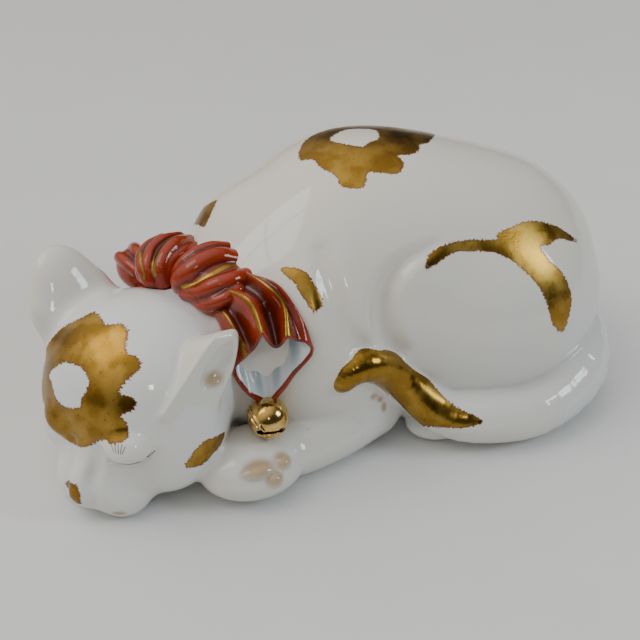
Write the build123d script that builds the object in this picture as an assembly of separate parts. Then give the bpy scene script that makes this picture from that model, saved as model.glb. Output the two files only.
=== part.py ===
from build123d import *
import math
import os

import numpy as np

# A hollow porcelain figurine of a sleeping cat, millimetres, +Z up.
# Origin: centre of the outline, on the surface the cat lies on.
# The head is at -X, the rump at +X, and the curled tail and forelegs are on the -Y side.

# Driving dimensions
WALL = 5.0                # cast wall of the trunk
HEAD_WALL = 4.5           # cast wall of the head
BASE_THICKNESS = 4.0      # floor slab let into the foot rim
BASE_RECESS = 3.0         # underside of the slab above the table
VENT_DIAMETER = 14.0      # firing vent in the slab
RIBBON_WALL = 2.4         # thickness of the pressed ribbon
BELL_DIAMETER = 15.0
BELL_WALL = 1.6
BELL_SLIT = 1.8
LUG_DIAMETER = 4.0
ROOM = 400.0              # larger than the whole figurine

# Trunk: centre, radii and blending width of each rounded mass
CHEST = ((16, 13, 53), (62, 56, 61.5), 0)
TRUNK_MASSES = (
    ((60, 2, 47), (61.5, 54, 56), 22),    # rump
    ((20, 12, 20), (70, 50, 27), 16),     # belly spreading on the ground
    ((-22, 3, 43), (42, 45, 46), 22),     # shoulders
    ((-32, 21, 72), (17, 17, 19), 14),    # far shoulder blade
    ((-14, -20, 42), (24, 25, 38), 14),   # near shoulder
    ((-50, 0, 42), (28, 33, 31), 18),     # neck
    ((63, -19, 44), (51, 39, 43), 6),     # near haunch
)

# Head: skull centre, and the turn and dip of the sleeping face
HEAD_CENTRE = np.array((-86.0, -16.0, 41.0))
HEAD_TURN = 41.0
HEAD_DIP = 32.0
SKULL_RADII = (35.5, 38.5, 33)

# Neck joint between the head and trunk castings
NECK_POINT = (-66.0, -7.0, 44.0)
NECK_AXIS = (-36.0, -16.0, -5.0)

# Limbs and tail: centre line points with the radius at each
FOREARM = ((5, -33, 14, 13.5), (-14, -40, 11, 12), (-34, -44, 10.5, 11.5), (-58, -45, 12, 10))
ELBOW = (((2, -30, 20), (17, 16, 19), 0),)
TAIL = (
    (80, 32, 30, 17),
    (96, 18, 26, 19.5),
    (104, -8, 24, 20),
    (98, -38, 18, 17),
    (72, -55, 14, 13.5),
    (46, -55, 14, 11.5),
    (29, -50, 18, 9.5),
    (16, -44, 31, 8),
    (8, -43.5, 40, 7.5),
    (-1, -45, 46, 7),
    (-10, -46, 46, 6),
    (-15, -47, 42, 4),
)

FAR_FOREARM = ((-8, 44, 24, 15), (-24, 44, 13, 12.5), (-46, 34, 11, 10.5), (-66, 22, 10, 10))
HIND_FOOT = (((34, -42, 5.5), (15, 11.5, 5.5), 0),)
VENT_PLACE = (20, 8, 0)

# Upturned forepaw and its raised pads
FOREPAW = (
    ((-53, -47.5, 12), (24, 17.5, 12.5), 0),
    ((-50, -58, 17), (10, 6, 4), 3),
)

# Ears: rows of centre (forward, out, up) from the skull, radii and blending width
EAR_LEAN = math.radians(38)
NEAR_EAR = (
    (((-12, 31.5, 16.5), (19.5, 16, 7.5), 0),),
    (((-12, 42, 9), (12, 10, 7.5), 0),),
)
FAR_EAR = (
    (((-14, 31, 18), (18, 18, 8), 0), ((-21, 36, 26), (10.5, 11, 6), 6)),
    (((-18, 45, 8), (11, 10, 8), 0),),
)

# Ribbon bow on the nape: masses across, along and up
RIBBON_LOOP = (((-66, 10, 75), (15, 12, 10), 0),)
RIBBON_KNOT = (((-53, -6, 77), (14, 12, 11), 0),)
RIBBON_FAR_END = (((-74, 24, 65), (10, 13, 9), 0), ((-72, 32, 56), (8, 8, 12), 10))
COLLAR_RADIUS = 36.0
COLLAR_DEPTH = 11.0
COLLAR_WIDTH = 11.0
COLLAR_ROUNDING = 3.0
# Flared end: centre, half width, half height and facing of each section
FLARE = (
    ((-48, -17, 76), 11, 8, (0.35, -0.85, -0.2)),
    ((-43, -29, 70), 13, 10, (0.3, -0.8, -0.5)),
    ((-39, -38, 56), 16, 11, (0.15, -0.75, -0.65)),
    ((-38, -42, 49), 16.5, 12, (0.1, -0.85, -0.55)),
)
FLARE_WIDTH_AXIS = (0.96, 0.28, 0)
BELL_CENTRE = (-43.3, -47.3, 32.7)
BELL_UP = (0.1, 0.3, 1)
BELL_SLIT_AXIS = (1, -0.3, 0)
LUG_LENGTH = 11.0


def unit(vector):
    vector = np.asarray(vector, float)
    return vector / np.linalg.norm(vector)


def head_frame():
    """Rows: forward along the face, left cheek, crown."""
    turn = math.radians(HEAD_TURN)
    dip = math.radians(HEAD_DIP)
    forward = np.array((-math.cos(turn) * math.cos(dip), -math.sin(turn) * math.cos(dip), -math.sin(dip)))
    left = np.array((math.sin(turn), -math.cos(turn), 0.0))
    return np.array((forward, left, np.cross(forward, left)))


HEAD_AXES = head_frame()
WORLD_AXES = np.eye(3)


def on_head(forward, left, up):
    return HEAD_CENTRE + np.array((forward, left, up)) @ HEAD_AXES


# Signed fields: negative inside, in millimetres near the surface

def mass(points, centre, radii, axes=WORLD_AXES):
    local = (points - np.asarray(centre, float)) @ axes.T
    radii = np.asarray(radii, float)
    near = np.sqrt(((local / radii) ** 2).sum(-1))
    slope = np.sqrt(((local / radii**2) ** 2).sum(-1)) + 1e-9
    return near * (near - 1) / slope


def blended(first, second, width):
    overlap = np.maximum(width - np.abs(first - second), 0) / width
    return np.minimum(first, second) - overlap**2 * width / 4


def trunk_field(points):
    value = mass(points, CHEST[0], CHEST[1])
    for centre, radii, width in TRUNK_MASSES:
        value = blended(value, mass(points, centre, radii), width)
    return value


def head_field(points):
    value = mass(points, HEAD_CENTRE, SKULL_RADII, HEAD_AXES)
    for side in (-1, 1):
        cheek = mass(points, on_head(14, side * 18, -10), (24, 21, 20), HEAD_AXES)
        value = blended(value, cheek, 10)
        whisker_pad = mass(points, on_head(40, side * 9, -12), (12, 12, 11), HEAD_AXES)
        value = blended(value, whisker_pad, 6)
    muzzle = mass(points, on_head(36, 0, -3), (18, 11, 11), HEAD_AXES)
    chin = mass(points, on_head(34, 0, -19), (12, 13, 9), HEAD_AXES)
    return blended(blended(value, muzzle, 8), chin, 6)


# Skinning a field with spline sections

def crossing(field, level, start, direction, reach):
    """Distance from start along each direction at which the field reaches the level."""
    low = np.zeros(direction.shape[:-1])
    high = np.full(direction.shape[:-1], float(reach))
    for _ in range(40):
        middle = (low + high) / 2
        inside = field(start + direction * middle[..., None]) < level
        low = np.where(inside, middle, low)
        high = np.where(inside, high, middle)
    return low


def skinned(field, level, centre, axes, stations=15, rays=30, reach=110):
    """A solid lofted along axes[0] through sections of the field at the level."""
    centre = np.asarray(centre, float)
    back, front = crossing(field, level, centre, np.array((-axes[0], axes[0])), reach)
    sections = [Vertex(*(centre - back * axes[0]))]
    angles = np.arange(rays) * 2 * math.pi / rays
    spokes = np.cos(angles)[:, None] * axes[1] + np.sin(angles)[:, None] * axes[2]
    for step in range(1, stations):
        share = (1 - math.cos(math.pi * step / stations)) / 2
        middle = centre + (share * (back + front) - back) * axes[0]
        radii = crossing(field, level, middle, spokes, reach)
        ring = middle + spokes * radii[:, None]
        sections.append(Wire([Edge.make_spline([Vector(*p) for p in ring], periodic=True)]))
    sections.append(Vertex(*(centre + front * axes[0])))
    return Solid.make_loft(sections)


def rolled(axes):
    """The same lofting axis, with the seam turned an eighth of a turn from the outside's."""
    return np.array((axes[0], unit(axes[1] + axes[2]), unit(axes[2] - axes[1])))


def joined_masses(masses, axes):
    """The field of several ellipsoids, each (centre, radii, blending width)."""
    def field(points):
        value = mass(points, masses[0][0], masses[0][1], axes)
        for centre, radii, width in masses[1:]:
            value = blended(value, mass(points, centre, radii, axes), width)
        return value
    return field


def rounded(masses, axes=WORLD_AXES, stations=11, rays=22):
    return skinned(joined_masses(masses, axes), 0, masses[0][0], np.roll(axes, -1, axis=0), stations, rays)


def smooth_path(rows, count):
    """Catmull-Rom curve through rows of position and radius."""
    points = np.asarray(rows, float)
    points = np.vstack((2 * points[0] - points[1], points, 2 * points[-1] - points[-2]))
    spans = len(points) - 3
    path = []
    for t in np.linspace(0, spans, count):
        i = min(int(t), spans - 1)
        s = t - i
        a, b, c, d = points[i:i + 4]
        cubic = (3 * b - a - 3 * c + d) * s**3
        path.append((2 * b + (c - a) * s + (2 * a - 5 * b + 4 * c - d) * s**2 + cubic) / 2)
    return np.array(path)


def tapered_tube(rows, count):
    """A round bar along the rows' curve, closed by a rounded point at its end."""
    path = smooth_path(rows, count)
    tangents = np.gradient(path[:, :3], axis=0)
    sections = []
    for row, tangent in zip(path, tangents):
        place = Plane(origin=Vector(*row[:3]), z_dir=Vector(*tangent))
        sections.append(Wire([Edge.make_circle(row[3], place)]))
    tip = path[-1, :3] + unit(tangents[-1]) * path[-1, 3] * 0.8
    return Solid.make_loft(sections + [Vertex(*tip)])


def half_space(point, normal):
    """A block filling the side of the plane that the normal points into."""
    place = Plane(origin=Vector(*point), z_dir=Vector(*normal))
    return place.location * Pos(0, 0, ROOM / 2) * Box(ROOM, ROOM, ROOM)


def cut(solid, *tools):
    for tool in tools:
        solid = solid - tool
    return solid


def largest(shape):
    return max(shape.solids(), key=lambda solid: solid.volume)


ABOVE = half_space((0, 0, 0), (0, 0, 1))
HEAD_SIDE = half_space(NECK_POINT, NECK_AXIS)


# Porcelain castings

def trunk_solids():
    centre = (20, 3, 46)
    outside = skinned(trunk_field, 0, centre, WORLD_AXES)
    inside = skinned(trunk_field, -WALL, centre, WORLD_AXES)
    return outside, inside


def head_solids():
    centre = on_head(0, 0, -4)
    outside = skinned(head_field, 0, centre, HEAD_AXES, 17, 36)
    inside = skinned(head_field, -HEAD_WALL, centre, rolled(HEAD_AXES), 13, 28)
    return outside, inside


def base_plate(cavity):
    slab = Pos(0, 0, BASE_RECESS + BASE_THICKNESS / 2) * Box(ROOM, ROOM, BASE_THICKNESS)
    vent = Pos(*VENT_PLACE) * Cylinder(VENT_DIAMETER / 2, 4 * BASE_THICKNESS)
    return cut(cavity & slab, vent)


def ear_axes(side):
    """Rows: along the ear's root, out to its tip, and its back."""
    rise = np.array((0, side * math.sin(EAR_LEAN), math.cos(EAR_LEAN)))
    along = np.array((1.0, 0.0, 0.0))
    return np.array((along, rise, np.cross(along, rise))) @ HEAD_AXES


def ear(side, flap, hollow):
    """An ear's flap with a hollow pressed into its outer side."""
    axes = ear_axes(side)
    flap_masses, hollow_masses = (
        [(on_head(forward, side * out, up), radii, width) for (forward, out, up), radii, width in rows]
        for rows in (flap, hollow)
    )
    return rounded(flap_masses, axes) - rounded(hollow_masses, axes)


# Ribbon and bell

def ribbon_axes():
    """Rows: across the ribbon along the neck, along it over the nape, and up."""
    across = -unit(NECK_AXIS)
    along = unit(np.cross(across, (0, 0, 1)))
    return np.array((across, along, np.cross(across, along)))


def collar():
    """The band of the ribbon round the neck joint."""
    band = Cylinder(COLLAR_RADIUS, COLLAR_WIDTH)
    band = fillet(band.edges().filter_by(GeomType.CIRCLE), COLLAR_ROUNDING)
    band = band - Cylinder(COLLAR_RADIUS - COLLAR_DEPTH, 2 * COLLAR_WIDTH)
    place = Plane(origin=Vector(*NECK_POINT), z_dir=Vector(*NECK_AXIS))
    return place.location * band


def flare_skin(shrink, overshoot):
    """The trumpet of the bow, smaller all round by the ribbon's thickness for its inside."""
    sections = []
    for centre, width, height, facing in FLARE:
        place = Plane(origin=Vector(*centre), x_dir=Vector(*FLARE_WIDTH_AXIS), z_dir=Vector(*facing))
        sections.append(Wire([Edge.make_ellipse(width - shrink, height - shrink, place)]))
    last, width, height, facing = FLARE[-1]
    beyond = np.asarray(last) + unit(facing) * overshoot
    place = Plane(origin=Vector(*beyond), x_dir=Vector(*FLARE_WIDTH_AXIS), z_dir=Vector(*facing))
    sections.append(Wire([Edge.make_ellipse(width - shrink, height - shrink, place)]))
    return Solid.make_loft(sections)


def bell():
    ball = Sphere(BELL_DIAMETER / 2) - Sphere(BELL_DIAMETER / 2 - BELL_WALL)
    slit = Pos(0, 0, -BELL_DIAMETER / 2) * Box(BELL_DIAMETER, BELL_SLIT, BELL_DIAMETER * 0.8)
    place = Plane(origin=Vector(*BELL_CENTRE), x_dir=Vector(*BELL_SLIT_AXIS), z_dir=Vector(*BELL_UP))
    return place.location * (ball - slit)


def lug():
    top = Vector(*BELL_CENTRE) + Vector(*unit(BELL_UP)) * LUG_LENGTH
    place = Plane(origin=Vector(*BELL_CENTRE), z_dir=Vector(*BELL_UP))
    bar = Cylinder(LUG_DIAMETER / 2, LUG_LENGTH, align=(Align.CENTER, Align.CENTER, Align.MIN))
    return place.location * bar + Pos(*top) * Sphere(LUG_DIAMETER / 2)


def figurine():
    """Every piece by name, each meeting its neighbours face to face."""
    trunk, cavity = trunk_solids()
    head, head_cavity = head_solids()
    parts = {}
    parts["trunk_shell"] = cut((trunk - cavity) & ABOVE, HEAD_SIDE)
    parts["base_plate"] = base_plate(cavity)
    parts["head_shell"] = (head - head_cavity) & HEAD_SIDE & ABOVE
    masses = [trunk, head]
    layers = [
        ("near_ear", ear(1, *NEAR_EAR)),
        ("far_ear", ear(-1, *FAR_EAR)),
        ("near_forepaw", rounded(FOREPAW, stations=13, rays=26)),
        ("near_foreleg", tapered_tube(FOREARM, 10) + rounded(ELBOW)),
        ("far_foreleg", tapered_tube(FAR_FOREARM, 10)),
        ("hind_foot", rounded(HIND_FOOT)),
        ("tail", tapered_tube(TAIL, 20)),
    ]
    for name, shape in layers:
        parts[name] = largest(cut(shape & ABOVE, *masses))
        masses.append(shape)
    axes = ribbon_axes()
    ribbons = [
        ("ribbon_loop", rounded(RIBBON_LOOP, axes)),
        ("ribbon_knot", rounded(RIBBON_KNOT, axes)),
        ("ribbon_far_end", rounded(RIBBON_FAR_END, axes)),
        ("ribbon_collar", collar()),
    ]
    for name, shape in ribbons:
        parts[name] = largest(cut(shape, *masses))
        masses.append(shape)
    flare = flare_skin(0, 0)
    parts["ribbon_flare"] = largest(cut(flare - flare_skin(RIBBON_WALL, 1), *masses))
    masses.append(flare)
    parts["bell"] = largest(cut(bell(), *masses))
    parts["bell_lug"] = largest(cut(lug(), Pos(*BELL_CENTRE) * Sphere(BELL_DIAMETER / 2), *masses))
    return parts


if __name__ == "__main__":
    os.makedirs("parts", exist_ok=True)
    for name, shape in figurine().items():
        export_step(shape, f"parts/{name}.step")
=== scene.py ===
import math

import bmesh
import bpy
import numpy as np
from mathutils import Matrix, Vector
from numpy.linalg import norm


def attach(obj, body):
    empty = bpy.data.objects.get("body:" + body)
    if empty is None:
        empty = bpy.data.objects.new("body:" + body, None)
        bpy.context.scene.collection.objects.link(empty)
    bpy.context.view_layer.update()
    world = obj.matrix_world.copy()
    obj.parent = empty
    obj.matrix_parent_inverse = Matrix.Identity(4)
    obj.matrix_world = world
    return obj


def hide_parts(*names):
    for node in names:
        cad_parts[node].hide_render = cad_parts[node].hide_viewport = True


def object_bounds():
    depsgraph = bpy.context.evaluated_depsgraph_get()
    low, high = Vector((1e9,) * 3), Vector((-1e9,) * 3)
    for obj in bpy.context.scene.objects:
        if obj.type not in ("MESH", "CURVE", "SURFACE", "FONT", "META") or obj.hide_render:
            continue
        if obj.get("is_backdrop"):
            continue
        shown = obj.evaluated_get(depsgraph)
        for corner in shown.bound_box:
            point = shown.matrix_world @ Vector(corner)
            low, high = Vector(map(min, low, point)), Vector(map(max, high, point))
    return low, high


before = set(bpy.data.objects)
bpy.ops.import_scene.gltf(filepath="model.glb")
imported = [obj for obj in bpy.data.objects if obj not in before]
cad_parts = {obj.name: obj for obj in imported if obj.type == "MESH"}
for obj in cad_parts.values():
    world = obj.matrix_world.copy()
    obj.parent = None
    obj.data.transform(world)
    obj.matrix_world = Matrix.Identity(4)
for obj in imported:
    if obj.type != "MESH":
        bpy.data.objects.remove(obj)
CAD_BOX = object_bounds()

# Sizes are millimetres in the frame's axes, but metres for textures, bumps, lights and camera.
MM = 0.001
GRID = 1.45  # cell of the glazed surface's first mesh
SHELL = 3.0  # visible wall of the two big castings
THIN_SHELL = 1.4  # visible wall of the small pieces
FAR_OFF = 1e9
TINY = 1e-9
FLOAT = np.float32


# ---- vectors and curves

def unit(rows):
    rows = np.asarray(rows, float)
    return rows / norm(rows, axis=-1, keepdims=True)


def spline_point(a, b, c, d, s):
    """Catmull-Rom point at the share s of the way from b to c."""
    cubic = (3 * b - a - 3 * c + d) * s**3
    return (2 * b + (c - a) * s + (2 * a - 5 * b + 4 * c - d) * s**2 + cubic) / 2


def smooth_path(rows, count):
    """Catmull-Rom curve through rows of numbers."""
    points = np.asarray(rows, float)
    points = np.vstack((2 * points[0] - points[1], points, 2 * points[-1] - points[-2]))
    spans = len(points) - 3
    path = []
    for t in np.linspace(0, spans, count):
        i = min(int(t), spans - 1)
        path.append(spline_point(*points[i:i + 4], t - i))
    return np.array(path)


def closed_path(points, per_span=8):
    """Closed Catmull-Rom outline through points."""
    points = np.asarray(points, float)
    corners = [np.roll(points, shift, 0) for shift in (1, 0, -1, -2)]
    shares = np.arange(per_span) / per_span
    return np.array([spline_point(*around, s) for around in zip(*corners) for s in shares])


def drawing_plane(facing, across):
    """Rows: the drawing's first and second direction, and the way it faces."""
    facing, across = unit(facing), np.asarray(across, float)
    first = unit(across - facing * (across @ facing))
    return np.array((first, np.cross(facing, first), facing))


# ---- fields, negative inside

def mass(p, centre, radii, axes=None):
    """Ellipsoid."""
    q = p - np.asarray(centre, FLOAT)
    if axes is not None:
        q = q @ np.asarray(axes, FLOAT).T
    radii = np.asarray(radii, FLOAT)
    near = np.sqrt(((q / radii) ** 2).sum(-1))
    slope = np.sqrt(((q / radii**2) ** 2).sum(-1)) + TINY
    return near * (near - 1) / slope


def blended(first, second, width):
    overlap = np.maximum(width - np.abs(first - second), 0) / width
    return np.minimum(first, second) - overlap**2 * (width / 4)


def carved(solid, tool, width):
    return -blended(-solid, tool, width)


def masses(p, rows, axes=None):
    value = mass(p, *rows[0][:2], axes)
    for centre, radii, width in rows[1:]:
        value = blended(value, mass(p, centre, radii, axes), width)
    return value


def tube(p, rows, count=20):
    """Round bar with a changing radius along the rows (x, y, z, radius)."""
    path = smooth_path(rows, count).astype(FLOAT)
    value = None
    for a, b in zip(path[:-1], path[1:]):
        run = b[:3] - a[:3]
        share = np.clip(((p - a[:3]) @ run) / float(run @ run), 0, 1)
        away = p - a[:3] - share[..., None] * run
        bar = np.sqrt((away * away).sum(-1)) - (a[3] + (b[3] - a[3]) * share)
        value = bar if value is None else np.minimum(value, bar)
    return value


# ---- the cat's form

HEAD_CENTRE = np.array((-86.0, -16.0, 41.0))
HEAD_TURN, HEAD_DIP = math.radians(41), math.radians(32)


def head_frame():
    """Rows: forward along the face, left cheek, crown."""
    level = np.array((-math.cos(HEAD_TURN), -math.sin(HEAD_TURN), 0.0))
    forward = level * math.cos(HEAD_DIP) - np.array((0, 0, math.sin(HEAD_DIP)))
    left = np.array((-level[1], level[0], 0.0))
    return np.array((forward, left, np.cross(forward, left)))


HEAD_AXES = head_frame()


def on_head(forward, left, up):
    return HEAD_CENTRE + np.array((forward, left, up)) @ HEAD_AXES


TRUNK = (
    ((16, 13, 53), (62, 56, 61.5), 0),  # chest
    ((60, 2, 47), (61.5, 54, 56), 22),  # rump
    ((20, 12, 20), (70, 50, 27), 16),  # belly
    ((-22, 3, 43), (42, 45, 46), 22),  # shoulders
    ((-32, 21, 72), (17, 17, 19), 14),  # far shoulder blade
    ((-14, -20, 42), (24, 25, 38), 14),  # near shoulder
    ((-50, 0, 42), (28, 33, 31), 18),  # neck
    ((63, -19, 44), (51, 39, 43), 6),  # near haunch
)
# Near ear: a point on each facet, its facing (forward, left, up) and the rounding towards those before it;
# the hollow's middle, radii, direction along it and direction out of it
NEAR_EAR_RIDGE = (14.3, 29.1, 20.2)
NEAR_EAR_FACETS = (
    (NEAR_EAR_RIDGE, (0.196, -0.262, 0.944), 0),  # front, crown side of the ridge
    (NEAR_EAR_RIDGE, (0.345, 0.887, 0.30), 0.8),  # outer side, with the hollow
    ((-20.9, 39.9, 28.3), (-0.78, -0.50, 0.46), 6),  # tip
    ((-15.4, 41, 11.3), (-0.47, -0.10, -0.87), 4),  # rear
    ((-19.9, 43, 16.2), (-0.40, 0.87, -0.30), 4),  # outer edge
    ((16, 29, 20), (0.95, 0.20, 0.20), 2),  # front end of the ridge
    ((-8, 23, 22), (0, -1, 0.10), 6),  # root, inside the head
)
NEAR_EAR_HOLLOW = ((-9.6, 40.8, 18.8), (12, 4.9, 4.8), (-0.93, 0.30, 0.30), (0.38, 0.88, 0.29))
# Far ear, on (forward, out, up): a leaning paddle and its hollow
EAR_LEAN = math.radians(38)
FAR_EAR = (((-14, 31, 18), (18, 18, 8), 0), ((-22, 37, 28), (10.5, 11, 6), 6))
FAR_EAR_HOLLOW = (((-18, 45, 8), (11, 10, 8), 0),)
FOREARM = ((5, -33, 14, 13.5), (-14, -40, 11, 12), (-34, -44, 10.5, 11.5), (-55, -45, 12, 10))
ELBOW = ((2, -30, 20), (17, 16, 19))
FOREPAW = (
    ((-50.8, -47.5, 12), (21.8, 17.5, 12.5), 0),
    ((-52, -60.5, 19), (7, 4, 3), 1),
    ((-41.6, -58.5, 18.5), (3.5, 3.5, 3), 1),
    ((-46.4, -63, 15), (3.5, 3.5, 3.5), 1),
)
FAR_FOREARM = ((-8, 44, 24, 15), (-24, 44, 13, 12.5), (-46, 34, 11, 10.5), (-66, 22, 10, 10))
HIND_FOOT = ((34, -42, 5.5), (15, 11.5, 5.5))
TAIL = (
    (80, 32, 30, 17), (96, 18, 26, 19.5), (103.9, -8, 24, 19.8), (98, -39.3, 17, 15.9),
    (72, -55.7, 12.6, 12.3), (46, -55, 14, 11.5), (29, -50, 18, 9.5), (16, -44, 31, 8), (8, -43.5, 40, 7.5),
    (-1, -45, 46, 7.2), (-8, -45.8, 46, 6.8), (-12, -46.6, 42.5, 5.2),
)
# Valleys of the side (x, y, z, radius): in front of the haunch, and behind the shoulder
HAUNCH_VALLEY = (
    (31, -36.5, 90.5, 0.3), (17, -36.5, 84.5, 2.2), (10.5, -38, 79, 3.4), (7, -40.5, 73, 4.2),
    (6, -43, 65, 4.6), (7.5, -45, 56, 4.2), (12, -46, 49, 3.2),
)
SHOULDER_VALLEY = (
    (-14.8, -28, 90.5, 0.3), (-14, -34.7, 82, 1.3), (-13.2, -39.4, 75.5, 1.9), (-12, -43.3, 68.5, 2.3),
    (-9, -46, 61, 2.4), (-3, -47, 54.5, 2.0),
)
# Creases of the face (forward, out, up, radius): under the closed lid, and beside the nose
LID_CREASE = (
    (35.5, 10, 6.6, 0.3), (35, 14, 5.2, 0.8), (33.4, 19, 6, 0.9), (30, 24.5, 8.4, 0.9),
    (26.3, 27.6, 9.6, 0.5),
)
NOSE_CREASE = ((35, 7, 11.5, 0.4), (41.5, 6, 6.8, 1.2), (48.3, 6.5, 3.2, 1.2), (53, 7, -3, 0.6))
LIDS = ((26.5, 15, 11), (24.8, -13.2, 10.2))  # middles of the closed lids, near and far


def tail_field(p):
    return tube(p, TAIL, 44)


def trunk_field(p):
    value = masses(p, TRUNK)
    value = carved(value, tube(p, HAUNCH_VALLEY, 18), 4.5)
    return carved(value, tube(p, SHOULDER_VALLEY, 14), 7)


def head_field(p):
    value = mass(p, HEAD_CENTRE, (35.5, 38.5, 33), HEAD_AXES)
    for side, lid in zip((1, -1), LIDS):
        for place, radii, width in (
            ((14, side * 18, -10), (24, 21, 20), 10),  # cheek
            ((40, side * 9, -12), (12, 12, 11), 6),  # side of the muzzle
            (lid, (9.3, 11, 7.3), 2.5),
        ):
            value = blended(value, mass(p, on_head(*place), radii, HEAD_AXES), width)
    value = blended(value, mass(p, on_head(36, 0, -3), (18, 11, 11), HEAD_AXES), 8)  # nose
    value = blended(value, mass(p, on_head(34, 0, -19), (12, 13, 9), HEAD_AXES), 6)  # chin
    for side in (-1, 1):
        for rows, width in ((LID_CREASE, 2), (NOSE_CREASE, 4.5)):
            crease = [(*on_head(forward, side * out, up), radius) for forward, out, up, radius in rows]
            value = carved(value, tube(p, crease, 14), width)
    return value


def near_ear_field(p):
    value = None
    for place, facing, rounding in NEAR_EAR_FACETS:
        facet = (p - on_head(*place).astype(FLOAT)) @ (unit(facing) @ HEAD_AXES).astype(FLOAT)
        value = facet if value is None else -blended(-value, -facet, rounding)
    centre, radii, along, out = NEAR_EAR_HOLLOW
    axes = drawing_plane(out, along)[[0, 2, 1]] @ HEAD_AXES  # along, out, across
    return carved(value, mass(p, on_head(*centre), radii, axes), 1)


def far_ear_field(p):
    rise = np.array((0, -math.sin(EAR_LEAN), math.cos(EAR_LEAN)))
    along = np.array((1.0, 0.0, 0.0))
    axes = np.array((along, rise, np.cross(along, rise))) @ HEAD_AXES
    flap, hollow = (
        masses(p, [(on_head(f, -o, u), radii, width) for (f, o, u), radii, width in rows], axes)
        for rows in (FAR_EAR, FAR_EAR_HOLLOW)
    )
    return carved(flap, hollow, 2)


# Porcelain pieces: node, field and the width of its fillet into the ones before it
PORCELAIN = (
    ("trunk_shell", trunk_field, 0),
    ("head_shell", head_field, 8),
    ("near_ear", near_ear_field, 1.8),
    ("far_ear", far_ear_field, 7),
    ("near_foreleg", lambda p: blended(tube(p, FOREARM), mass(p, *ELBOW), 4), 3.5),
    ("near_forepaw", lambda p: masses(p, FOREPAW), 3),
    ("far_foreleg", lambda p: tube(p, FAR_FOREARM), 6),
    ("tail", tail_field, 1.6),
    ("hind_foot", lambda p: mass(p, *HIND_FOOT), 3),
)


def glazed_field(p):
    value = trunk_field(p)
    for _, field, width in PORCELAIN[1:]:
        value = blended(value, field(p), width)
    return carved(value, p[..., 2], 1.5)


# ---- meshing a field

def sampled(field, low, high, cell):
    """The field on a grid, worked out block by block."""
    counts = [int(math.ceil((b - a) / cell)) + 1 for a, b in zip(low, high)]
    lines = [np.asarray(low[i] + cell * np.arange(counts[i]), FLOAT) for i in range(3)]
    values = np.empty(counts, FLOAT)
    block = 24
    for start in range(0, counts[0], block):
        rows = slice(start, start + block)
        values[rows] = field(np.stack(np.meshgrid(lines[0][rows], *lines[1:], indexing="ij"), -1))
    return values


def surface_nets(values, low, cell):
    """Quads of the zero surface of sampled values, one vertex in each crossed cell."""
    shape = values.shape
    inside = values < 0
    total = np.zeros((*(size - 1 for size in shape), 3), FLOAT)
    crossings = np.zeros(total.shape[:3], FLOAT)
    for axis in range(3):
        others = [other for other in range(3) if other != axis]
        for corner in np.ndindex(2, 2):
            first = [slice(0, -1)] * 3
            for other, step in zip(others, corner):
                first[other] = slice(step, shape[other] - 1 + step)
            second = list(first)
            second[axis] = slice(1, None)
            a, b = values[tuple(first)], values[tuple(second)]
            crossed = (a < 0) != (b < 0)
            total[..., axis] += np.where(crossed, a / (a - b + 1e-20 * (a == b)), 0)
            for other, step in zip(others, corner):
                total[..., other] += step * crossed
            crossings += crossed
    active = crossings > 0
    cells = np.argwhere(active)
    number = np.zeros(active.shape, np.int64)
    number[active] = np.arange(len(cells))
    points = (cells + total[active] / crossings[active][:, None]) * cell + np.asarray(low)
    quads = []
    for axis in range(3):
        others = [(axis + 1) % 3, (axis + 2) % 3]
        first, second = [slice(None)] * 3, [slice(None)] * 3
        first[axis], second[axis] = slice(0, -1), slice(1, None)
        start = inside[tuple(first)]
        edges = np.argwhere(start != inside[tuple(second)])
        for other in others:
            edges = edges[(edges[:, other] > 0) & (edges[:, other] < shape[other] - 1)]
        corners = []
        for shift in ((-1, -1), (0, -1), (0, 0), (-1, 0)):
            cell_of = edges.copy()
            cell_of[:, others] += shift
            corners.append(number[tuple(cell_of.T)])
        ring = np.stack(corners, 1)
        flip = ~start[tuple(edges.T)]
        ring[flip] = ring[flip][:, ::-1]
        quads.append(ring)
    return points.astype(FLOAT), np.vstack(quads)


def gradient(field, p, step=0.12):
    p = p.astype(np.float64)
    return np.stack([field(p + shift) - field(p - shift) for shift in np.eye(3) * step], -1) / (2 * step)


def normals_of(field, p):
    slope = gradient(field, p)
    return slope / np.maximum(norm(slope, axis=1)[:, None], TINY)


def settled(field, p, rounds=3, reach=0.6):
    """Points moved onto the zero surface, no more than reach in a round."""
    p = p.astype(np.float64)
    for _ in range(rounds):
        slope = gradient(field, p)
        size = np.maximum((slope**2).sum(1), 0.05)
        step = -(field(p) / size)[:, None] * slope
        length = norm(step, axis=1)[:, None]
        p = p + step * np.minimum(1, reach / np.maximum(length, TINY))
    return p


def skin(field, low, high, cell, rounds=2, reach=0.3):
    """Points, quads and normals of the field's zero surface."""
    points, quads = surface_nets(sampled(field, low, high, cell), low, cell)
    points = settled(field, points, rounds, reach)
    return points, quads, normals_of(field, points)


def sides(quads):
    """The edges of all quads, in their own direction."""
    return np.stack((quads, np.roll(quads, -1, 1)), -1).reshape(-1, 2)


def subdivided(points, quads):
    """Each quad split into four, with new points at edge and face middles."""
    unique, inverse = np.unique(np.sort(sides(quads), axis=1), axis=0, return_inverse=True)
    middles = len(points) + inverse.reshape(-1, 4)
    centres = len(points) + len(unique) + np.arange(len(quads))
    fine = [np.stack((quads[:, k], middles[:, k], centres, middles[:, k - 1]), 1) for k in range(4)]
    return np.vstack((points, points[unique].mean(1), points[quads].mean(1))), np.vstack(fine)


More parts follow.
